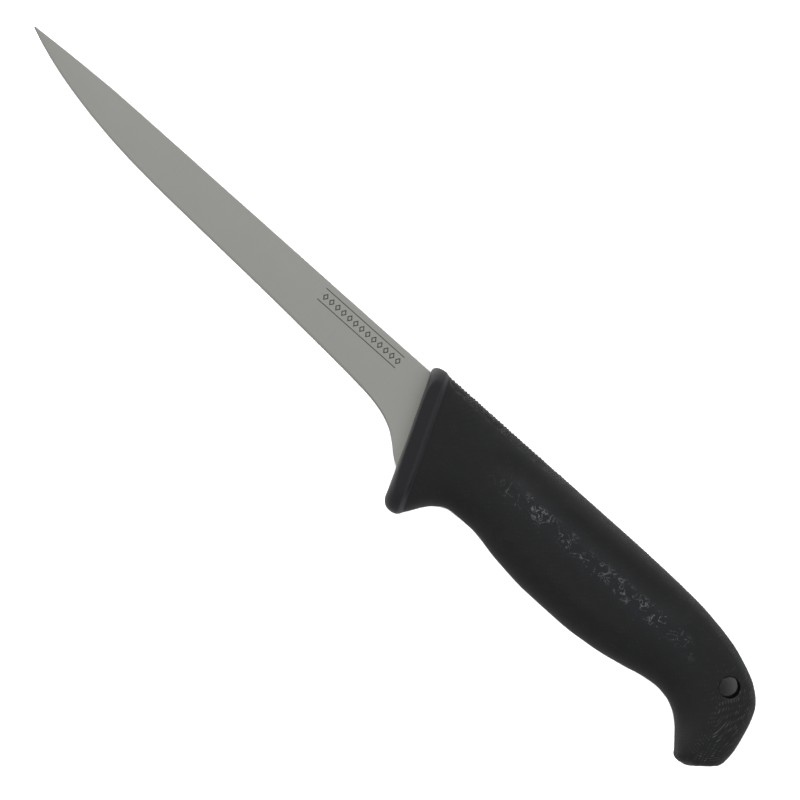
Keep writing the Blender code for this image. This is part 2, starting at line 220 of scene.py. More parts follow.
# Where the zero of the drawing lies in the shared frame
blade_low, blade_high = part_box("blade")
ZERO = Vector((blade_high.x - BLADE_REACH * MM, blade_low.y, 0.5 * (blade_low.z + blade_high.z)))


def smooth_ramp(value, start, end):
    """0 before start, 1 after end, and an S-curve between."""
    share = np.clip((np.asarray(value, float) - start) / (end - start), 0.0, 1.0)
    return share * share * (3.0 - 2.0 * share)


def steady_slopes(places, values):
    """Slopes for a cubic through the values that never overshoots them."""
    gaps = np.diff(places)
    rises = np.diff(values) / gaps
    slopes = np.zeros(len(values))
    slopes[0], slopes[-1] = rises[0], rises[-1]
    for i in range(1, len(values) - 1):
        before, after = rises[i - 1], rises[i]
        if before * after > 0.0:
            near = 2.0 * gaps[i] + gaps[i - 1]
            far = gaps[i] + 2.0 * gaps[i - 1]
            slopes[i] = (near + far) / (near / before + far / after)
    return slopes


def cubic_between(share, gap, start, end, slope_start, slope_end):
    square, cube = share * share, share ** 3
    return (start * (2.0 * cube - 3.0 * square + 1.0) + end * (3.0 * square - 2.0 * cube)
            + gap * slope_start * (cube - 2.0 * square + share) + gap * slope_end * (cube - square))


def fill_in_ribs(ribs, spacing):
    """The ribs, with more between them on a smooth curve, no further apart than the spacing."""
    table = np.array(ribs)
    middles = 0.5 * (table[:, 0:2] + table[:, 2:4])
    lengths = np.linalg.norm(np.diff(middles, axis=0), axis=1)
    places = np.concatenate(([0.0], np.cumsum(lengths)))
    slopes = np.array([steady_slopes(places, column) for column in table.T]).T
    dense = []
    for i, gap in enumerate(lengths):
        count = max(1, math.ceil(gap / spacing))
        for step in range(count):
            dense.append(cubic_between(step / count, gap, table[i], table[i + 1], slopes[i], slopes[i + 1]))
    dense.append(table[-1])
    return dense


def skin_over(name, rings):
    """A closed mesh over rings of points in drawing millimetres, with a fan of faces at each end."""
    rings = np.asarray(rings)
    count, around = rings.shape[0], rings.shape[1]
    hubs = np.array([rings[0].mean(axis=0), rings[-1].mean(axis=0)])
    points = np.concatenate((rings.reshape(-1, 3), hubs)) * MM + np.array(ZERO)
    start = np.arange(count - 1)[:, None] * around
    here, after = np.arange(around)[None, :], (np.arange(around)[None, :] + 1) % around
    quads = np.stack((start + here, start + after, start + around + after, start + around + here), axis=-1)
    loop = np.arange(around)
    following = (loop + 1) % around
    last = (count - 1) * around
    front = np.stack((following, loop, np.full(around, count * around)), axis=-1)
    back = np.stack((last + loop, last + following, np.full(around, count * around + 1)), axis=-1)
    mesh = bpy.data.meshes.new(name)
    mesh.from_pydata(points.tolist(), [], quads.reshape(-1, 4).tolist() + front.tolist() + back.tolist())
    mesh.update()
    obj = bpy.data.objects.new(name, mesh)
    bpy.context.scene.collection.objects.link(obj)
    return obj


def facing_out(obj):
    """Turns the faces round if the mesh came out inside out, which its signed volume shows."""
    mesh = obj.data
    mesh.calc_loop_triangles()
    corners = np.zeros(len(mesh.vertices) * 3)
    mesh.vertices.foreach_get("co", corners)
    corners = corners.reshape(-1, 3) - np.array(ZERO)
    triangles = np.zeros(len(mesh.loop_triangles) * 3, int)
    mesh.loop_triangles.foreach_get("vertices", triangles)
    a, b, c = corners[triangles.reshape(-1, 3)].transpose(1, 0, 2)
    if np.einsum("ij,ij->i", a, np.cross(b, c)).sum() < 0.0:
        mesh.flip_normals()


def shade(obj, degrees):
    """Smooth shading, with edges that turn by more than this kept crisp."""
    obj.data.shade_smooth()
    obj.data.set_sharp_from_angle(angle=math.radians(degrees))


def block(name, outline, half):
    """A flat plate of the given half height, from one outline in drawing millimetres."""
    count = len(outline)
    points = [(x, y, z) for z in (-half, half) for x, y in outline]
    faces = [tuple(range(count))[::-1], tuple(range(count, 2 * count))]
    faces += [(i, (i + 1) % count, count + (i + 1) % count, count + i) for i in range(count)]
    mesh = bpy.data.meshes.new(name)
    mesh.from_pydata([tuple(Vector(point) * MM + ZERO) for point in points], [], faces)
    obj = bpy.data.objects.new(name, mesh)
    bpy.context.scene.collection.objects.link(obj)
    facing_out(obj)
    return obj


def circle_outline(x, y, radius, count=96):
    turns = [2.0 * math.pi * i / count for i in range(count)]
    return [(x + radius * math.cos(turn), y + radius * math.sin(turn)) for turn in turns]


def cut_away(obj, cutters):
    """Cuts the cutters out of the object, one after another, and deletes them."""
    for cutter in cutters:
        modifier = obj.modifiers.new("cut", "BOOLEAN")
        modifier.operation = "DIFFERENCE"
        modifier.solver = "EXACT"
        modifier.material_mode = "TRANSFER"
        modifier.object = cutter
    depsgraph = bpy.context.evaluated_depsgraph_get()
    whole = bpy.data.meshes.new_from_object(obj.evaluated_get(depsgraph))
    obj.modifiers.clear()
    old = obj.data
    obj.data = whole
    bpy.data.meshes.remove(old)
    for cutter in cutters:
        bpy.data.objects.remove(cutter, do_unlink=True)


# ---------------------------------------------------------------- blade

def spine_height(x):
    share = np.maximum(0.0, (x - SPINE_DROP_START) / (BLADE_REACH - SPINE_DROP_START))
    return SPINE_DROP * share ** SPINE_FALL


def blade_ring(rib):
    """Flat sheet by the spine, ground away in a soft curve to the edge, with the spine's corners rounded."""
    spine_x, spine_y, edge_x, edge_y, edge_half = rib
    width = math.hypot(edge_x - spine_x, edge_y - spine_y)
    thinning = max(0.0, (spine_x - TAPER_START) / (BLADE_REACH - TAPER_START))
    spine_half = STOCK_HALF + (TIP_HALF - STOCK_HALF) * thinning
    radius = min(SPINE_ROUND, ROUND_LIMIT * spine_half) / width
    turns = np.linspace(0.0, 0.5 * math.pi, CORNER_POINTS)
    corner = [radius * (1.0 - math.cos(turn)) for turn in turns]
    bevel = 1.0 - min(EDGE_BEVEL / width, BEVEL_LIMIT)
    grind = np.linspace(max(GRIND_FIRST, 1.5 * radius), bevel - BEVEL_GAP, GRIND_POINTS)
    shares = corner + list(grind) + [bevel]
    side = []
    for share in shares:
        ground = max(0.0, (share - GRIND_START) / (1.0 - GRIND_START)) ** GRIND_POWER
        half = spine_half + (min(edge_half, spine_half) - spine_half) * ground
        if share < radius:
            left = 1.0 - share / radius
            half -= radius * width * (1.0 - math.sqrt(1.0 - left * left))
        side.append((spine_x + (edge_x - spine_x) * share, spine_y + (edge_y - spine_y) * share, half))
    below = [(x, y, -half) for x, y, half in reversed(side)]
    return side + [(edge_x, edge_y, 0.0)] + below


def make_blade(steel):
    """Blade, heel and tang in one, with the three holes in the tang."""
    outside = [(x, spine_height(x), edge_x, edge_y, half) for x, edge_x, edge_y, half in BLADE_RIBS]
    inside = [(*rib, STOCK_HALF) for rib in TANG_RIBS]
    ribs = fill_in_ribs(outside, BLADE_STEP) + inside
    blade = skin_over("blade_ground", [blade_ring(rib) for rib in ribs])
    facing_out(blade)
    blade.data.materials.append(steel)
    holes = [block("tang_hole", circle_outline(x, y, radius, TANG_HOLE_POINTS), TANG_CUT_HALF)
             for x, y, radius in TANG_HOLES]
    for hole in holes:
        hole.data.materials.append(steel)
    cut_away(blade, holes)
    shade(blade, BLADE_CREASE)
    return blade


# ---------------------------------------------------------------- handle

def rim_inset(distance, reach, depth):
    """How far a rounded rim has drawn in, at a distance behind the face that it rounds into."""
    left = max(0.0, 1.0 - distance / reach)
    return depth * (1.0 - math.sqrt(1.0 - left * left))


def collar_rib(distance):
    """A rib parallel to the raked front face."""
    nose_y = GUARD_REACH - rim_inset(distance, FRONT_ROUND_SIDE, NOSE_ROUND)
    nose_y -= NOSE_FALL * max(0.0, distance - FRONT_ROUND_SIDE) ** 2
    step = float(smooth_ramp(distance, COLLAR_BACK, COLLAR_STEP_END))
    behind = distance * math.hypot(1.0, RAKE)
    top_y = COLLAR_TOP + (BODY_TOP - COLLAR_TOP) * step
    top_y += rim_inset(distance, FRONT_ROUND_LONG, FRONT_ROUND_TOP)
    half = COLLAR_BULGE + (BODY_BULGE - COLLAR_BULGE) * step
    half -= rim_inset(distance, FRONT_ROUND_SIDE, FRONT_ROUND_SIDE)
    return (-RAKE * top_y - behind, top_y, -RAKE * nose_y - behind, nose_y, half, COLLAR_SQUARENESS)


def flatten_side(half, share):
    """Levels the bulge of the sides off with a soft start, in a slight crown along the crest."""
    cap = HANDLE_HALF - SIDE_CROWN * ((share - CREST_SHARE) / CROWN_REACH) ** 2
    over = half - (cap - SIDE_SOFTNESS)
    eased = cap - (2.0 * SIDE_SOFTNESS - over) ** 2 / (4.0 * SIDE_SOFTNESS)
    return np.where(over <= 0.0, half, np.where(over >= 2.0 * SIDE_SOFTNESS, cap, eased))


def valley(x, y):
    """Depth of the thumb valley, which fades out at both ends and across."""
    ends = smooth_ramp(-x, -VALLEY_FROM - VALLEY_FADE, -VALLEY_FROM + VALLEY_FADE)
    ends *= 1.0 - smooth_ramp(-x, -VALLEY_TO - VALLEY_FADE, -VALLEY_TO + VALLEY_FADE)
    across = np.maximum(0.0, 1.0 - ((y - VALLEY_ACROSS) / VALLEY_REACH) ** 2)
    return VALLEY_DEPTH * ends * across * across


def even_ring(rib):
    """One section of the handle, a squared oval thickest nearer its back, with evenly spaced points."""
    back_x, back_y, belly_x, belly_y, bulge, squareness = rib
    lean = math.log(CREST_SHARE) / math.log(0.5)
    angle = np.linspace(0.0, math.pi, CURVE_POINTS)
    across, up = np.cos(angle), np.abs(np.sin(angle))
    reach = np.copysign(np.abs(across) ** (2.0 / squareness), across)
    share = (0.5 * (1.0 - reach)) ** lean
    half = flatten_side(bulge * up ** (2.0 / squareness), share)
    x = back_x + (belly_x - back_x) * share
    y = back_y + (belly_y - back_y) * share
    half = np.maximum(0.0, half - valley(x, y) * up)
    half[0] = half[-1] = 0.0
    behind = np.maximum(0.0, -x - RAKE * y)
    nearness = np.maximum(0.0, (y - LIP_FROM) / (LIP_TO - LIP_FROM))
    x = x + GUARD_LIP * (1.0 - smooth_ramp(behind, 0.0, COLLAR_STEP_END)) * nearness ** LIP_POWER
    curve = np.stack((x, y, half), axis=-1)
    travel = np.concatenate(([0.0], np.cumsum(np.linalg.norm(np.diff(curve, axis=0), axis=1))))
    places = np.linspace(0.0, travel[-1], RING_POINTS // 2 + 1)
    top = np.stack([np.interp(places, travel, column) for column in curve.T], axis=-1)
    bottom = top[-2:0:-1] * (1.0, 1.0, -1.0)
    return np.concatenate((top, bottom))


def grid_normals(rings):
    """Outward normals of the points of a tube of rings. The rings near its ends can't tell which way is out,
    so they are left out of the test."""
    along = np.gradient(rings, axis=0)
    around = np.roll(rings, -1, axis=1) - np.roll(rings, 1, axis=1)
    normals = np.cross(along, around)
    normals /= np.maximum(np.linalg.norm(normals, axis=2, keepdims=True), 1e-9)
    middle = rings.mean(axis=1, keepdims=True)
    if np.einsum("ijk,ijk->ij", normals, rings - middle)[10:-10].mean() < 0.0:
        normals = -normals
    return normals


def lattice_noise(u, v, seed):
    """Smooth random values from -1 to 1 on a unit lattice."""
    table = np.random.default_rng(seed).uniform(-1.0, 1.0, (NOISE_CELLS, NOISE_CELLS))
    column, row = np.floor(u).astype(int), np.floor(v).astype(int)
    fu, fv = u - column, v - row
    fu, fv = fu * fu * (3.0 - 2.0 * fu), fv * fv * (3.0 - 2.0 * fv)

    def pick(i, j):
        return table[(column + i) % NOISE_CELLS, (row + j) % NOISE_CELLS]

    low = pick(0, 0) * (1.0 - fu) + pick(1, 0) * fu
    high = pick(0, 1) * (1.0 - fu) + pick(1, 1) * fu
    return low * (1.0 - fv) + high * fv


def grain(rings):
    """How far each point stands out from the smooth shape, and how much of the painted highlight of a bead's
    tip it gets.

    The beads are boldest on the back behind the collar. They line up across the blunt back into short ribs,
    show again round the butt and the beak, and are almost flat where the palm and fingers lie."""
    gaps = np.linalg.norm(np.roll(rings, -1, axis=1) - rings, axis=2)
    girth = np.concatenate((np.zeros((len(rings), 1)), np.cumsum(gaps, axis=1)[:, :-1]), axis=1)
    whole = girth[:, -1:] + gaps[:, -1:]
    from_back = np.minimum(girth, whole - girth)
    from_belly = 0.5 * whole - from_back
    steps = np.linalg.norm(np.diff(rings, axis=0), axis=2)
    along = np.concatenate((np.zeros((1, rings.shape[1])), np.cumsum(steps, axis=0)))
    from_end = along[-1:] - along
    x, y = rings[:, :, 0], rings[:, :, 1]
    behind = (-x - RAKE * y) / math.hypot(1.0, RAKE)
    middle = rings.shape[1] // 2
    plan_back = np.hypot(x - x[:, :1], y - y[:, :1])
    plan_belly = np.hypot(x - x[:, middle:middle + 1], y - y[:, middle:middle + 1])
    rim = np.minimum(from_back, from_belly)
    inward = -ROW_BLEND * np.log(np.exp(-rim / ROW_BLEND) + np.exp(-(from_end + BEAK_REACH) / ROW_BLEND))
    calm = smooth_ramp(rim, *SIDE_BEADS)
    off_back = np.maximum(smooth_ramp(plan_back, *SIDE_ROWS), smooth_ramp(-x, *BUTT_ROWS))
    travel = along * off_back - x[:, :1] * (1.0 - off_back)
    inset = girth * off_back + plan_back * (1.0 - off_back)
    row = inward / ROW_PITCH * off_back + plan_back / BACK_ROW_PITCH * (1.0 - off_back)
    for reach, cell_along, cell_round, seed in WANDERS:
        row += calm * reach * lattice_noise(along / cell_along, girth / cell_round, seed)
    stagger = 0.5 * np.round(row) * smooth_ramp(plan_back, *STAGGER_FROM)
    stagger += DRIFT * lattice_noise(travel / DRIFT_CELL, plan_back / DRIFT_CELL, DRIFT_SEED)
    ridge = 0.5 + 0.5 * np.cos(2.0 * math.pi * row)
    short = 0.5 + 0.5 * np.cos(2.0 * math.pi * (travel / BEAD_PITCH + stagger))
    long = 0.5 + 0.5 * np.cos(2.0 * math.pi * (along / LONG_BEAD_PITCH + stagger))
    bead = ridge * (ROW_LEAST + (1.0 - ROW_LEAST) * (short + (long - short) * calm))
    uneven = lattice_noise(travel / UNEVEN_CELL, inset / UNEVEN_CELL, UNEVEN_SEED)
    bead *= 1.0 - UNEVEN + UNEVEN * uneven
    front = 1.0 - smooth_ramp(-x, *FRONT_FADE)
    butt = smooth_ramp(plan_back - BUTT_SLANT * x, *BUTT_ACROSS) * smooth_ramp(-x, *BUTT_BEHIND)
    back = (1.0 - smooth_ramp(plan_back, *BACK_FADE)) * (BACK_DEPTH + FRONT_DEPTH * front)
    sides = SIDE_DEPTH + BUTT_DEPTH * butt * (1.0 - smooth_ramp(plan_back, *BUTT_FADE))
    belly = (1.0 - smooth_ramp(plan_belly, *BELLY_FADE)) * BELLY_DEPTH * smooth_ramp(-x, *BELLY_BEHIND)
    depth = np.maximum(np.maximum(back, belly), sides) * smooth_ramp(behind, *GRAIN_STARTS)
    proud = PROUD * (1.0 - smooth_ramp(-x, *PROUD_FADE)) * (1.0 - smooth_ramp(plan_back, *PROUD_ACROSS))
    # The tips of the beads get a painted highlight, which the material paints pale
    tips = smooth_ramp(bead, *TIP_HEIGHT) * np.clip(depth / TIP_DEPTH, 0.0, 1.0)
    tips *= smooth_ramp(plan_back, *TIP_ACROSS)
    return depth * (bead - 1.0 + proud), tips


def round_the_hole(rings):
    """Lets the faces fall away in a rounded rim round the lanyard hole."""
    from_centre = np.hypot(rings[:, :, 0] - HOLE_CENTRE[0], rings[:, :, 1] - HOLE_CENTRE[1])
    near = np.clip((HOLE_RADIUS + HOLE_ROUND - from_centre) / HOLE_ROUND, 0.0, 1.0)
    drop = HOLE_ROUND * (1.0 - np.sqrt(1.0 - near * near))
    rings[:, :, 2] -= np.sign(rings[:, :, 2]) * drop
    return rings


def slot_outline():
    """Outline of the room that the blade and tang fill inside the handle, open in front."""
    back_line = [(x, y - SLOT_ROOM) for x, y, _, _ in TANG_RIBS]
    belly_line = [(x, y + SLOT_ROOM) for _, _, x, y in TANG_RIBS]
    heel_x, heel_y = belly_line[0]
    return ([(SLOT_OPEN, SLOT_CORNER[1]), SLOT_CORNER, (SLOT_CORNER[0], heel_y), (heel_x, heel_y)]
            + belly_line[1:] + back_line[::-1] + [(SLOT_OPEN, -SLOT_ROOM)])


def make_handle(outside, bore):
    """Collar, guard, grip and beak in one moulding, with its slot and lanyard hole. The grain stays inside
    the part's box on the spine side."""
    distances = np.concatenate((
        FRONT_ROUND_SIDE * (1.0 - np.cos(np.linspace(0.0, 0.5 * math.pi, FRONT_SECTIONS))),
        np.linspace(FRONT_ROUND_SIDE, COLLAR_BACK, COLLAR_SECTIONS)[1:],
        np.linspace(COLLAR_BACK, COLLAR_STEP_END, STEP_SECTIONS)[1:]))
    collar = [collar_rib(distance) for distance in distances]
    grip = fill_in_ribs(collar[-1:] + list(GRIP_RIBS), HANDLE_STEP)
    rings = np.array([even_ring(rib) for rib in collar[:-1] + grip])
    normals = grid_normals(rings)
    height, tips = grain(rings)
    rings = rings + normals * height[:, :, None]
    rings = round_the_hole(rings)
    rings[:, :, 1] = np.maximum(rings[:, :, 1], (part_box("handle")[0].y - ZERO.y) / MM)
    handle = skin_over("handle_moulded", rings)
    # The painted highlight of the bead tips, kept on each point for the material
    rub_and_highlight = handle.data.attributes.new("bead_tip_highlights", "FLOAT", "POINT")
    rub_and_highlight.data.foreach_set("value", np.concatenate((tips.ravel(), (0.0, 0.0))))
    facing_out(handle)
    handle.data.materials.append(outside)
    slot = block("tang_slot", slot_outline(), SLOT_HALF)
    hole = block("lanyard_hole", circle_outline(*HOLE_CENTRE, HOLE_RADIUS), HOLE_CUT_HALF)
    for cutter in (slot, hole):
        cutter.data.materials.append(bore)
    cut_away(handle, [slot, hole])
    shade(handle, HANDLE_CREASE)
    return handle


# ---------------------------------------------------------------- materials

STEEL, STEEL_DARK, STEEL_LIGHT = "#cdcec8", "#cacbc5", "#d3d4ce"


def linear(hex_colour):
    """An sRGB hex colour as linear RGBA."""
    channels = [int(hex_colour[i:i + 2], 16) / 255.0 for i in (1, 3, 5)]
    return tuple(c / 12.92 if c <= 0.04045 else ((c + 0.055) / 1.055) ** 2.4 for c in channels) + (1.0,)


def join(tree, value, socket):
    """Feeds a socket from a node or a socket, or sets its value. A string is a hex colour."""
    if isinstance(value, bpy.types.Node):
        value = next(output for output in value.outputs if output.enabled)
    if isinstance(value, bpy.types.NodeSocket):
        tree.links.new(value, socket)
    else:
        socket.default_value = linear(value) if isinstance(value, str) else value


def add_node(tree, kind, *inputs, **settings):
    """Adds a node. The inputs fill its sockets in order. The settings are its properties, or else sockets by
    name."""
    node = tree.nodes.new("ShaderNode" + kind)
    for name, value in settings.items():
        if hasattr(node, name):
            setattr(node, name, value)
        else:
            join(tree, value, node.inputs[name.replace("_", " ")])
    for value, socket in zip(inputs, [socket for socket in node.inputs if socket.enabled]):
        join(tree, value, socket)
    return node


def new_material(name, colour, roughness, metallic):
    material = bpy.data.materials.new(name)
    material.use_nodes = True
    shader = material.node_tree.nodes["Principled BSDF"]
    shader.inputs["Base Color"].default_value = linear(colour)
    shader.inputs["Roughness"].default_value = roughness
    shader.inputs["Metallic"].default_value = metallic
    return material, material.node_tree, shader


def finish_surface(tree, shader, colour, bump, roughness=None):
    join(tree, colour, shader.inputs["Base Color"])
    join(tree, bump, shader.inputs["Normal"])
    if roughness is not None:
        join(tree, roughness, shader.inputs["Roughness"])


def drawing_place(tree):
    """Positions on the piece in drawing millimetres."""
    place = add_node(tree, "TexCoord").outputs["Object"]
    return add_node(tree, "Mapping", place, tuple(-ZERO / MM), Scale=(1.0 / MM,) * 3)


# Etched mark on the blade, in millimetres: two thin rules and a row of open lozenges between them
MARK_MIDDLE = (23.4, 3.9)
MARK_HALF = 14.95
MARK_RULES = (1.9, 5.9)
RULE_HALF = 0.13
LOZENGE_HALF_PITCH = 1.15
LOZENGE_SLOPE = 1.3       # how much taller than long a lozenge is
LOZENGE_HALF, LOZENGE_LINE = 0.9, 0.25
MARK_GREY, MARK_ROUGH = "#686862", 0.65


def etched_mark(tree, place):
    """1 inside the mark, which is on the upper side of the blade only."""
    x, y, z = add_node(tree, "SeparateXYZ", place).outputs
    wave = add_node(tree, "Math", x, LOZENGE_HALF_PITCH, operation="PINGPONG")
    slope = add_node(tree, "Math", wave, LOZENGE_SLOPE, operation="MULTIPLY")
    offset = add_node(tree, "Math", y, MARK_MIDDLE[1], operation="SUBTRACT")
    across = add_node(tree, "Math", offset, operation="ABSOLUTE")
    spread = add_node(tree, "Math", slope, across, operation="ADD")
    ink = add_node(tree, "Math", spread, LOZENGE_HALF, LOZENGE_LINE, operation="COMPARE")
    for height in MARK_RULES:
        rule = add_node(tree, "Math", y, height, RULE_HALF, operation="COMPARE")
        ink = add_node(tree, "Math", ink, rule, operation="MAXIMUM")
    length = add_node(tree, "Math", x, MARK_MIDDLE[0], MARK_HALF, operation="COMPARE")
    upper = add_node(tree, "Math", z, 0.0, operation="GREATER_THAN")
    for limit in (length, upper):
        ink = add_node(tree, "Math", ink, limit, operation="MULTIPLY")
    return ink


# Satin finish
STEEL_ROUGH, SATIN_ROUGH = 0.42, (0.39, 0.45)
GRIND_PITCH = 0.12        # the belt's scratches lie this many millimetres apart along the blade
GRIND_LENGTHS = 0.14      # scratches end to end in a millimetre
CLOUDS = 0.07             # patches of duller and brighter satin in a millimetre
NOISE_MIDDLE = (0.3, 0.7)  # most of a noise's values lie between these
ETCH_DEPTH, GRIND_DEPTH, GRIND_STRENGTH = 0.01, 0.2, 0.5  # the scratches' depth is a share of the etching's


def ground_stainless():
    """Stainless steel sheet, belt ground and satin finished: an even grey, with very fine lines across the
    blade that only show close up. The mark is etched, so it is darker and duller than the ground steel."""
    material, tree, shader = new_material("satin_stainless", STEEL, STEEL_ROUGH, 1.0)
    place = drawing_place(tree)
    across = add_node(tree, "Mapping", place, Scale=(1.0 / GRIND_PITCH, GRIND_LENGTHS, GRIND_LENGTHS))
    lines = add_node(tree, "TexNoise", across, 1.0, 3.0)
    cloud = add_node(tree, "TexNoise", place, CLOUDS, 2.0)
    mark = etched_mark(tree, place)
    steel = add_node(tree, "Mix", lines, STEEL_DARK, STEEL_LIGHT, data_type="RGBA")
    colour = add_node(tree, "Mix", mark, steel, MARK_GREY, data_type="RGBA")
    satin = add_node(tree, "MapRange", cloud, *NOISE_MIDDLE, *SATIN_ROUGH)
    rough = add_node(tree, "Mix", mark, satin, MARK_ROUGH)
    height = add_node(tree, "Math", lines, GRIND_DEPTH, operation="MULTIPLY")
    cut = add_node(tree, "Math", height, mark, operation="SUBTRACT")
    bump = add_node(tree, "Bump", Strength=GRIND_STRENGTH, Distance=ETCH_DEPTH * MM, Height=cut)
    finish_surface(tree, shader, colour, bump, rough)
    return material


# Wear and painted highlights on the handle, in millimetres
CREST_LINE = 9.8          # the crest of each side runs this far across
CREST_RUB_AND_HIGHLIGHT = (1.0, 6.0)   # painted paler, partly as rub and partly as a painted highlight, up to here from the crest, and fading out by here
SCUFF_WEAR = (0.8, 3.4)   # and scuffed in the same way
WEAR_AND_HIGHLIGHT_STARTS, WEAR_AND_HIGHLIGHT_ENDS = (30.0, 44.0), (96.0, 116.0)
COLLAR_EDGE = (5.9, 6.3)  # behind the front face, where the smoother collar ends
# Painted highlight along the collar's step: its middle lies this far behind the front face, and it reaches
# this far each way
STEP_HIGHLIGHT_PLACE, STEP_HIGHLIGHT_HALF = 5.2, 0.8
CURL_SIZE = 2.6
PEBBLE_SIZE = 0.45
PEBBLE_DEPTH, PEBBLE_STRENGTH = 0.04, 0.35
SCUFF_PATCHES, FLECKS, MOTTLES = 0.3, 1.25, 0.33  # of each, this many in a millimetre
CURL_LINE = (0.006, 0.03)  # a curl is where its noise is this close to its middle value
PATCH_EDGE, FLECK_EDGE, FLECK_WEAR = (0.44, 0.56), (0.7, 0.78), 0.5
# How patchy the painted highlight of the bead tips is, and its least and most strength
TIP_PATCHES, TIP_HIGHLIGHT_RANGE = (0.4, 0.62), (0.15, 1.0)

# Colours and roughness of the polymer, with the painted highlights of the crest, the collar's step and the
# bead tips
POLYMER, POLYMER_ROUGH, PEBBLED_ROUGH, COLLAR_ROUGH = "#121314", 0.5, (0.42, 0.52), 0.36
MOTTLE_DARK, MOTTLE_LIGHT = "#0b0c0d", "#141618"
CREST_RUB_AND_HIGHLIGHT_BLACK, COLLAR_BLACK, STEP_PAINTED_HIGHLIGHT = "#191c20", "#1e1f23", "#2b2c32"
SCUFF_GREY, TIP_HIGHLIGHT_GREY = "#77797b", "#75787b"


def moulded_polymer():
    """Black polypropylene, injection moulded: a dull, finely pebbled black from a spark-eroded mould, and a
    smoother, bluer collar where the mould was polished. The crest of each side is painted a little bluer and
    paler, partly as the rub of storage and handling and partly as a painted highlight, with small curled
    scuffs along it. The step behind the collar is painted lighter as a painted highlight, and the tips of
    the beads are painted pale as painted highlights."""
    material, tree, shader = new_material("moulded_polymer", POLYMER, POLYMER_ROUGH, 0.0)
    place = drawing_place(tree)
    x, y, _ = add_node(tree, "SeparateXYZ", place).outputs
    offset = add_node(tree, "Math", y, CREST_LINE, operation="SUBTRACT")
    off_crest = add_node(tree, "Math", offset, operation="ABSOLUTE")
    behind = add_node(tree, "Math", x, -1.0, operation="MULTIPLY")
    starts = add_node(tree, "MapRange", behind, *WEAR_AND_HIGHLIGHT_STARTS, 0.0, 1.0, interpolation_type="SMOOTHSTEP")
    ends = add_node(tree, "MapRange", behind, *WEAR_AND_HIGHLIGHT_ENDS, 1.0, 0.0, interpolation_type="SMOOTHSTEP")
    length = add_node(tree, "Math", starts, ends, operation="MULTIPLY")
    bands = []
    for reach in (CREST_RUB_AND_HIGHLIGHT, SCUFF_WEAR):
        band = add_node(tree, "MapRange", off_crest, *reach, 1.0, 0.0, interpolation_type="SMOOTHSTEP")
        bands.append(add_node(tree, "Math", band, length, operation="MULTIPLY"))
    crest, chain = bands
    curls = add_node(tree, "TexNoise", place, 1.0 / CURL_SIZE, 2.5, Distortion=1.2)
    middle = add_node(tree, "Math", curls, 0.5, operation="SUBTRACT")
    line = add_node(tree, "Math", middle, operation="ABSOLUTE")
    curl = add_node(tree, "MapRange", line, *CURL_LINE, 1.0, 0.0)
    patches = add_node(tree, "MapRange", add_node(tree, "TexNoise", place, SCUFF_PATCHES, 1.0), *PATCH_EDGE)
    spots = add_node(tree, "TexNoise", place, FLECKS, 1.0)
    specks = add_node(tree, "MapRange", spots, *FLECK_EDGE, 0.0, FLECK_WEAR)
    curls_in_patches = add_node(tree, "Math", curl, patches, operation="MULTIPLY")
    scuff = add_node(tree, "Math", curls_in_patches, chain, operation="MULTIPLY")
    fleck = add_node(tree, "Math", specks, crest, operation="MULTIPLY")
    worn = add_node(tree, "Math", scuff, fleck, operation="MAXIMUM")
    from_face = add_node(tree, "Math", y, -RAKE, behind, operation="MULTIPLY_ADD")
    collar = add_node(tree, "MapRange", from_face, *COLLAR_EDGE, 1.0, 0.0, interpolation_type="SMOOTHSTEP")
    mottle = add_node(tree, "TexNoise", place, MOTTLES, 3.0)
    black = add_node(tree, "Mix", mottle, MOTTLE_DARK, MOTTLE_LIGHT, data_type="RGBA")
    # Painted partly as rub and partly as a highlight: the crest band is paler and bluer
    rub_and_highlight = add_node(tree, "Mix", crest, black, CREST_RUB_AND_HIGHLIGHT_BLACK, data_type="RGBA")
    polished = add_node(tree, "Mix", collar, rub_and_highlight, COLLAR_BLACK, data_type="RGBA")
    # Painted highlight: a lighter band across the collar's step
    step = add_node(tree, "Math", from_face, STEP_HIGHLIGHT_PLACE, STEP_HIGHLIGHT_HALF, operation="COMPARE")
    front = add_node(tree, "Mix", step, polished, STEP_PAINTED_HIGHLIGHT, data_type="RGBA")
    scuffed = add_node(tree, "Mix", worn, front, SCUFF_GREY, data_type="RGBA")
    # Painted highlight: the tips of the beads, painted pale in patches
    tips = add_node(tree, "Attribute", attribute_name="bead_tip_highlights").outputs["Fac"]
    patchy = add_node(tree, "MapRange", mottle, *TIP_PATCHES, *TIP_HIGHLIGHT_RANGE)
    tip_highlights = add_node(tree, "Math", tips, patchy, operation="MULTIPLY")
    colour = add_node(tree, "Mix", tip_highlights, scuffed, TIP_HIGHLIGHT_GREY, data_type="RGBA")
    pebbled = add_node(tree, "MapRange", mottle, *NOISE_MIDDLE, *PEBBLED_ROUGH)
    rough = add_node(tree, "Mix", collar, pebbled, COLLAR_ROUGH)
    pebbles = add_node(tree, "TexNoise", place, 1.0 / PEBBLE_SIZE, 2.0)
    bump = add_node(tree, "Bump", Strength=PEBBLE_STRENGTH, Distance=PEBBLE_DEPTH * MM,
                    Height=pebbles)
    finish_surface(tree, shader, colour, bump, rough)
    return material


# Inside the holes, painted near black as painted shade
CORE_SHADE_BLACK, CORE_SHADE_DARKER, CORE_SHADE_LIGHTER = "#050505", "#030303", "#080808"
CORE_SHEEN = 0.15
DRAGS = (3.3, 3.3, 0.33)  # drag lines in a millimetre across the pin, and along it
DRAG_DEPTH, DRAG_STRENGTH = 0.03, 0.3


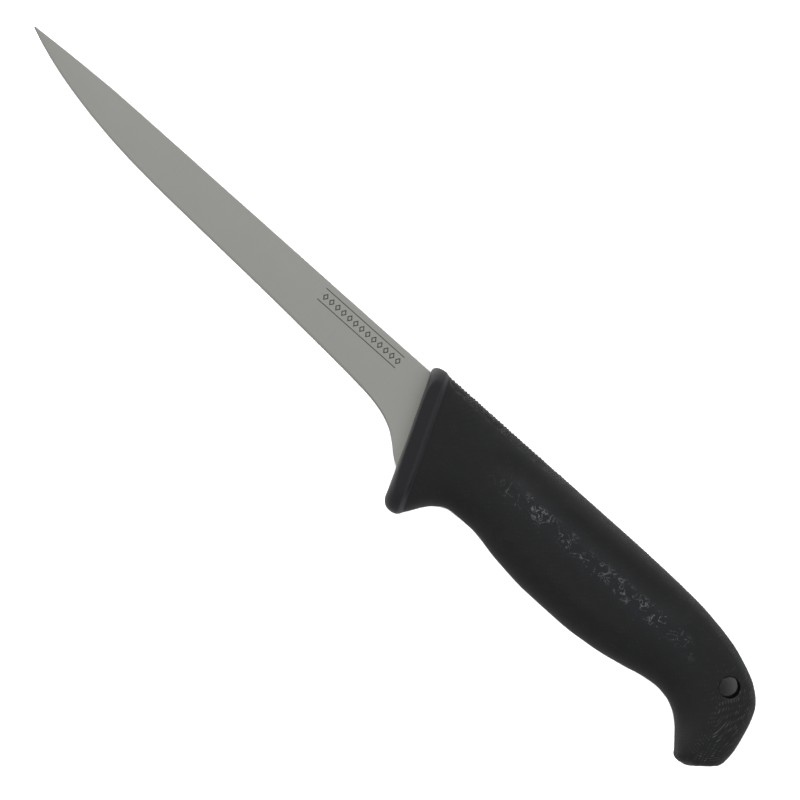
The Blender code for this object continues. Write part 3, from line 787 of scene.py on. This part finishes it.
def shaded_core_polymer():
    """The same polymer inside the lanyard hole and the slot, left matt by the core pin and the tang and
    painted near black as painted shade in the bore, with fine drag lines along the pin."""
    # Painted shade: the walls of the lanyard hole and the slot are near black
    material, tree, shader = new_material("shaded_core_polymer", CORE_SHADE_BLACK, 1.0, 0.0)
    shader.inputs["Specular IOR Level"].default_value = CORE_SHEEN
    along = add_node(tree, "Mapping", drawing_place(tree), Scale=DRAGS)
    drag = add_node(tree, "TexNoise", along, 1.0, 2.0)
    colour = add_node(tree, "Mix", drag, CORE_SHADE_DARKER, CORE_SHADE_LIGHTER, data_type="RGBA")
    bump = add_node(tree, "Bump", Strength=DRAG_STRENGTH, Distance=DRAG_DEPTH * MM, Height=drag)
    finish_surface(tree, shader, colour, bump)
    return material


# The table
LAMINATE, LAMINATE_DARK, LAMINATE_LIGHT = "#b8b8b8", "#b7b7b7", "#b9b9b9"
PEEL_SCALE = 300.0        # bumps of the orange peel in a metre
PEEL_DEPTH, PEEL_STRENGTH = 0.02, 0.05


def table_top():
    """Pale grey laminate: even and matt, with a faint orange peel from the press. Lamps show it white."""
    material, tree, shader = new_material("pale_laminate", LAMINATE, 0.9, 0.0)
    peel = add_node(tree, "TexNoise", add_node(tree, "TexCoord").outputs["Object"], PEEL_SCALE)
    colour = add_node(tree, "Mix", peel, LAMINATE_DARK, LAMINATE_LIGHT, data_type="RGBA")
    bump = add_node(tree, "Bump", Strength=PEEL_STRENGTH, Distance=PEEL_DEPTH * MM, Height=peel)
    finish_surface(tree, shader, colour, bump)
    return material


# ---------------------------------------------------------------- stage

# Lengths are in drawing millimetres and turns in degrees
VIEW_AIM = (1.32, 11.8)   # what the camera is over
VIEW_WIDTH = 229.2        # and how much it sees across
VIEW_TURN = 221.72
CAMERA_HEIGHT = 2000.0
CAMERA_FAR = 100.0        # in metres
SENSOR = 36.0
ZENITH_LIGHT = 0.45
KEY_TURN, KEY_LIGHT, KEY_RAMP = -25.0, 1.0, (0.3, 0.9)
DIM_TURN, DIM_LIGHT, DIM_RAMP = 215.0, 0.15, (0.35, 0.95)
TABLE_HALF = 6.0          # in metres
TABLE_LIGHT = 16.0
TABLE_LAMPS = 6
LAMP_RISE, LAMP_SPREAD, LAMP_DISTANCE = 64.0, 14.0, 2.0


def make_camera():
    data = bpy.data.cameras.new("camera")
    data.sensor_width = SENSOR
    data.lens = SENSOR * CAMERA_HEIGHT / VIEW_WIDTH
    data.clip_end = CAMERA_FAR
    camera = bpy.data.objects.new("camera", data)
    camera.location = Vector((*VIEW_AIM, CAMERA_HEIGHT)) * MM + ZERO
    camera.rotation_euler = (0.0, 0.0, math.radians(VIEW_TURN))
    bpy.context.scene.collection.objects.link(camera)
    bpy.context.scene.camera = camera


def make_floor():
    """The table top. It is left out of reflections, so that it puts no glare along the handle's rims."""
    mesh = bpy.data.meshes.new("table")
    corners = [(x * TABLE_HALF, y * TABLE_HALF, 0.0) for x, y in ((-1, -1), (1, -1), (1, 1), (-1, 1))]
    mesh.from_pydata(corners, [], [(0, 1, 2, 3)])
    table = bpy.data.objects.new("table", mesh)
    table.location.z = cad_box[0].z
    mesh.materials.append(table_top())
    bpy.context.scene.collection.objects.link(table)
    table.visible_glossy = False
    return table


def add_lamp(name, kind, direction, distance, settings):
    """A lamp that shines on the knife's middle from a direction."""
    data = bpy.data.lights.new(name, kind)
    for setting, value in settings.items():
        setattr(data, setting, value)
    lamp = bpy.data.objects.new(name, data)
    lamp.location = direction * distance
    lamp.rotation_euler = direction.to_track_quat("Z", "Y").to_euler()
    bpy.context.scene.collection.objects.link(lamp)
    return lamp


def compass(turn, elevation):
    """The direction that lies turned from the top of the view and raised above the table, in degrees."""
    around = math.radians(VIEW_TURN + 90.0 - turn)
    up = math.radians(elevation)
    return Vector((math.cos(around) * math.cos(up), math.sin(around) * math.cos(up), math.sin(up)))


def light_the_table(table):
    """A ring of soft overhead lamps for the table alone: an even white with hardly a shadow."""
    lit = bpy.data.collections.new("lit_from_above")
    lit.objects.link(table)
    settings = {"energy": TABLE_LIGHT / TABLE_LAMPS, "angle": math.radians(LAMP_SPREAD)}
    for i in range(TABLE_LAMPS):
        direction = compass(360.0 * i / TABLE_LAMPS, LAMP_RISE)
        lamp = add_lamp(f"table_lamp_{i}", "SUN", direction, LAMP_DISTANCE, settings)
        lamp.light_linking.receiver_collection = lit


def make_world():
    """A pale room: brightest between the point's end and the back's side, and dimmer on the edge's side."""
    world = bpy.data.worlds.new("studio")
    bpy.context.scene.world = world
    world.use_nodes = True
    tree = world.node_tree
    background = tree.nodes["Background"]
    place = add_node(tree, "TexCoord").outputs["Generated"]
    level = ZENITH_LIGHT
    for turn, ramp, light in ((KEY_TURN, KEY_RAMP, KEY_LIGHT), (DIM_TURN, DIM_RAMP, -DIM_LIGHT)):
        facing = add_node(tree, "VectorMath", place, tuple(compass(turn, 0.0)), operation="DOT_PRODUCT")
        share = add_node(tree, "MapRange", facing.outputs["Value"], *ramp, 0.0, light,
                         interpolation_type="SMOOTHSTEP")
        level = add_node(tree, "Math", share, level, operation="ADD")
    join(tree, level, background.inputs["Strength"])
    background.inputs["Color"].default_value = (1.0, 1.0, 1.0, 1.0)


blade = make_blade(ground_stainless())
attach(blade, "root")
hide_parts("blade")

handle = make_handle(moulded_polymer(), shaded_core_polymer())
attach(handle, "root")
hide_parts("handle")

light_the_table(make_floor())
make_world()
make_camera()
bpy.context.scene.view_settings.view_transform = "Standard"
